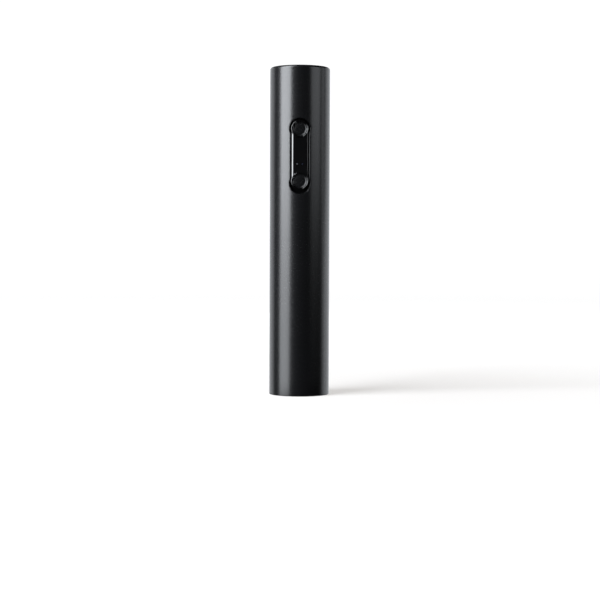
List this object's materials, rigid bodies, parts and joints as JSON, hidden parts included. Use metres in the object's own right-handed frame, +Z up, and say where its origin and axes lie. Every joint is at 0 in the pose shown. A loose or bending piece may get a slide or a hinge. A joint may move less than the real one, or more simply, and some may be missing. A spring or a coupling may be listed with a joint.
{
  "type": "electric wine opener",
  "caption": "Straight matte cylindrical electric wine opener with a glossy control strip, two round buttons and an open bottle socket with a motor-driven worm inside.",
  "frame": {"origin": "centre of the base rim, at the lowest point of the tube", "axes": "+Z up along the tube axis, -Y out of the control panel, +X to the right seen from the front"},
  "size_m": [0.045, 0.045, 0.245],
  "materials": {
    "soft_touch_black": "satin soft-touch coating",
    "gloss_black": "high gloss",
    "button_black": "satin",
    "inner_black": "fine moulded grain",
    "silicone_grey": "matte",
    "white_acetal": "smooth moulded",
    "steel": "polished",
    "dark_steel": "black zinc plated",
    "cast_alloy": "die-cast, bead blasted",
    "bronze": "sintered bronze",
    "magnet": "ferrite",
    "nickel": "nickel plated",
    "board_green": "solder mask",
    "chip_black": "moulded",
    "cell_wrap": "blue shrink sleeve over a metal can",
    "clear_plastic": "translucent"
  },
  "bodies": {
    "housing": {"body_tube": "soft_touch_black", "top_cap": "soft_touch_black", "neck_guide": "inner_black", "lip_pad": "silicone_grey", "cork_sleeve": "inner_black", "guide_screw_1": "dark_steel", "guide_screw_2": "dark_steel", "guide_screw_3": "dark_steel", "guide_tube": "white_acetal", "gearbox_end_plate": "cast_alloy", "output_bushing": "bronze", "ring_gear": "white_acetal", "motor_plate": "cast_alloy", "motor_screw_1": "dark_steel", "motor_screw_2": "dark_steel", "motor_can": "nickel", "motor_end_cap": "inner_black", "magnet_1": "magnet", "magnet_2": "magnet", "front_frame": "inner_black", "rear_frame": "inner_black", "frame_screw_1": "dark_steel", "frame_screw_2": "dark_steel", "frame_screw_3": "dark_steel", "frame_screw_4": "dark_steel", "battery_cell_1": "cell_wrap", "battery_cell_2": "cell_wrap", "cell_link": "nickel", "charge_board": "board_green", "charge_port": "nickel", "control_board": "board_green", "driver_chip": "chip_black", "up_switch": "nickel", "down_switch": "nickel", "indicator_led_1": "clear_plastic", "indicator_led_2": "clear_plastic", "light_guide": "clear_plastic", "control_panel": "gloss_black"},
    "rotor": {"armature": "bronze", "motor_pinion": "bronze"},
    "stage1": {"stage1_carrier": "steel"},
    "stage2": {"stage2_carrier": "steel"},
    "drive": {"output_carrier": "steel", "drive_cage": "cast_alloy"},
    "screw": {"screw_carrier": "cast_alloy", "corkscrew": "steel"},
    "up_control": {"up_button": "button_black", "up_plunger": "chip_black"},
    "down_control": {"down_button": "button_black", "down_plunger": "chip_black"},
    "stage1_planet_1": {"stage1_planet_1": "white_acetal"},
    "stage1_planet_2": {"stage1_planet_2": "white_acetal"},
    "stage1_planet_3": {"stage1_planet_3": "white_acetal"},
    "stage2_planet_1": {"stage2_planet_1": "white_acetal"},
    "stage2_planet_2": {"stage2_planet_2": "white_acetal"},
    "stage2_planet_3": {"stage2_planet_3": "white_acetal"},
    "stage3_planet_1": {"stage3_planet_1": "steel"},
    "stage3_planet_2": {"stage3_planet_2": "steel"},
    "stage3_planet_3": {"stage3_planet_3": "steel"}
  },
  "joints": [
    {"name": "screw_feed", "type": "slide", "parent": "drive", "child": "screw", "axis": [0, 0, -1], "range_m": [0, 0.034]},
    {"name": "drive_spin", "type": "hinge", "parent": "housing", "child": "drive", "pos_m": [0, 0, 0.127], "axis": [0, 0, -1], "range_deg": [0, 1440.1]},
    {"name": "stage2_spin", "type": "hinge", "parent": "housing", "child": "stage2", "pos_m": [0, 0, 0.139], "axis": [0, 0, -1], "range_deg": [0, 6720.5]},
    {"name": "stage1_spin", "type": "hinge", "parent": "housing", "child": "stage1", "pos_m": [0, 0, 0.147], "axis": [0, 0, -1], "range_deg": [0, 31362]},
    {"name": "rotor_spin", "type": "hinge", "parent": "housing", "child": "rotor", "pos_m": [0, 0, 0.166], "axis": [0, 0, -1], "range_deg": [0, 146360]},
    {"name": "stage1_planet_1_spin", "type": "hinge", "parent": "stage1", "child": "stage1_planet_1", "pos_m": [0.00893, 0, 0.15015], "axis": [0, 0, -1], "range_deg": [-86250, 0]},
    {"name": "stage1_planet_2_spin", "type": "hinge", "parent": "stage1", "child": "stage1_planet_2", "pos_m": [-0.00446, 0.00773, 0.15015], "axis": [0, 0, -1], "range_deg": [-86250, 0]},
    {"name": "stage1_planet_3_spin", "type": "hinge", "parent": "stage1", "child": "stage1_planet_3", "pos_m": [-0.00446, -0.00773, 0.15015], "axis": [0, 0, -1], "range_deg": [-86250, 0]},
    {"name": "stage2_planet_1_spin", "type": "hinge", "parent": "stage2", "child": "stage2_planet_1", "pos_m": [0.00893, 0, 0.1426], "axis": [0, 0, -1], "range_deg": [-18482, 0]},
    {"name": "stage2_planet_2_spin", "type": "hinge", "parent": "stage2", "child": "stage2_planet_2", "pos_m": [-0.00446, 0.00773, 0.1426], "axis": [0, 0, -1], "range_deg": [-18482, 0]},
    {"name": "stage2_planet_3_spin", "type": "hinge", "parent": "stage2", "child": "stage2_planet_3", "pos_m": [-0.00446, -0.00773, 0.1426], "axis": [0, 0, -1], "range_deg": [-18482, 0]},
    {"name": "stage3_planet_1_spin", "type": "hinge", "parent": "drive", "child": "stage3_planet_1", "pos_m": [0.00893, 0, 0.13405], "axis": [0, 0, -1], "range_deg": [-3960.5, 0]},
    {"name": "stage3_planet_2_spin", "type": "hinge", "parent": "drive", "child": "stage3_planet_2", "pos_m": [-0.00446, 0.00773, 0.13405], "axis": [0, 0, -1], "range_deg": [-3960.5, 0]},
    {"name": "stage3_planet_3_spin", "type": "hinge", "parent": "drive", "child": "stage3_planet_3", "pos_m": [-0.00446, -0.00773, 0.13405], "axis": [0, 0, -1], "range_deg": [-3960.5, 0]},
    {"name": "up_button_press", "type": "slide", "parent": "housing", "child": "up_control", "axis": [0, 1, 0], "range_m": [0, 0.0008], "stiffness_N_per_m": 500, "springref_m": -0.001},
    {"name": "down_button_press", "type": "slide", "parent": "housing", "child": "down_control", "axis": [0, 1, 0], "range_m": [0, 0.0008], "stiffness_N_per_m": 500, "springref_m": -0.001}
  ],
  "couplings": [
    {"joint": "drive_spin", "follows": "screw_feed", "rad_per_m": 739.2},
    {"joint": "stage2_spin", "follows": "screw_feed", "rad_per_m": 3449.6},
    {"joint": "stage1_spin", "follows": "screw_feed", "rad_per_m": 16098},
    {"joint": "rotor_spin", "follows": "screw_feed", "rad_per_m": 75124},
    {"joint": "stage1_planet_1_spin", "follows": "screw_feed", "rad_per_m": -44270},
    {"joint": "stage1_planet_2_spin", "follows": "screw_feed", "rad_per_m": -44270},
    {"joint": "stage1_planet_3_spin", "follows": "screw_feed", "rad_per_m": -44270},
    {"joint": "stage2_planet_1_spin", "follows": "screw_feed", "rad_per_m": -9486.4},
    {"joint": "stage2_planet_2_spin", "follows": "screw_feed", "rad_per_m": -9486.4},
    {"joint": "stage2_planet_3_spin", "follows": "screw_feed", "rad_per_m": -9486.4},
    {"joint": "stage3_planet_1_spin", "follows": "screw_feed", "rad_per_m": -2032.8},
    {"joint": "stage3_planet_2_spin", "follows": "screw_feed", "rad_per_m": -2032.8},
    {"joint": "stage3_planet_3_spin", "follows": "screw_feed", "rad_per_m": -2032.8}
  ]
}
